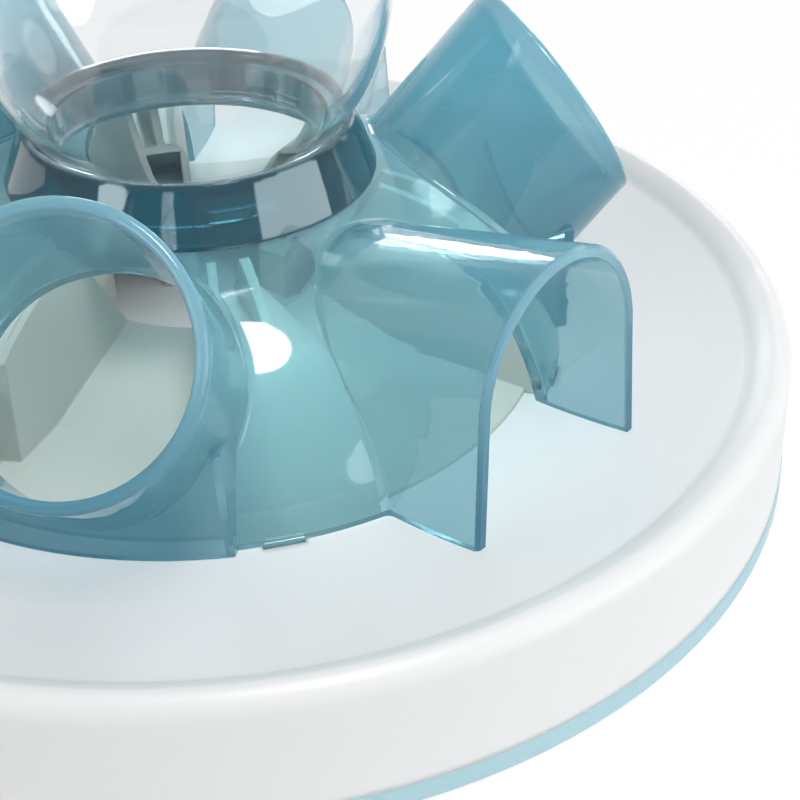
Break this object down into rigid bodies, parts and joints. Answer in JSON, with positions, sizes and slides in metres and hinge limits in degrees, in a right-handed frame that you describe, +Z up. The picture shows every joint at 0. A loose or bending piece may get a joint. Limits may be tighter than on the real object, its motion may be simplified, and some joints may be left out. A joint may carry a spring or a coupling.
{
  "type": "cat tunnel feeder",
  "caption": "Round activity feeder for cats: a dished tray with a translucent domed housing whose arched and round tunnels surround a clear ball-shaped food hopper with a lid.",
  "frame": {"origin": "centre of the round base on the ground plane", "axes": "+Z up along the axis of the dome; -Y through the middle of the front arch tunnel"},
  "size_m": [0.303, 0.303, 0.15],
  "materials": {
    "white_plastic": "smooth moulded white plastic",
    "pale_blue_rubber": "soft pale blue anti-slip rubber",
    "blue_translucent": "glossy translucent blue plastic",
    "teal_plastic": "glossy dark teal plastic",
    "clear_plastic": "clear transparent plastic",
    "screw_steel": "plain steel self-tapping screws"
  },
  "bodies": {
    "base": {"base_tray": "white_plastic", "anti_slip_ring": "pale_blue_rubber", "distributor": "white_plastic", "distributor_screws": "screw_steel"},
    "housing": {"tunnel_housing": "blue_translucent", "collar_ring": "teal_plastic"},
    "hopper": {"hopper_globe": "clear_plastic"},
    "lid": {"hopper_lid": "blue_translucent"}
  },
  "joints": [
    {"name": "housing_lift", "type": "slide", "parent": "base", "child": "housing", "axis": [0, 0, 1], "range_m": [0, 0.06]},
    {"name": "hopper_twist", "type": "hinge", "parent": "housing", "child": "hopper", "pos_m": [0, 0, 0.08], "axis": [0, 0, 1], "range_deg": [0, 30]},
    {"name": "lid_lift", "type": "slide", "parent": "hopper", "child": "lid", "axis": [0, 0, 1], "range_m": [0, 0.03]}
  ]
}
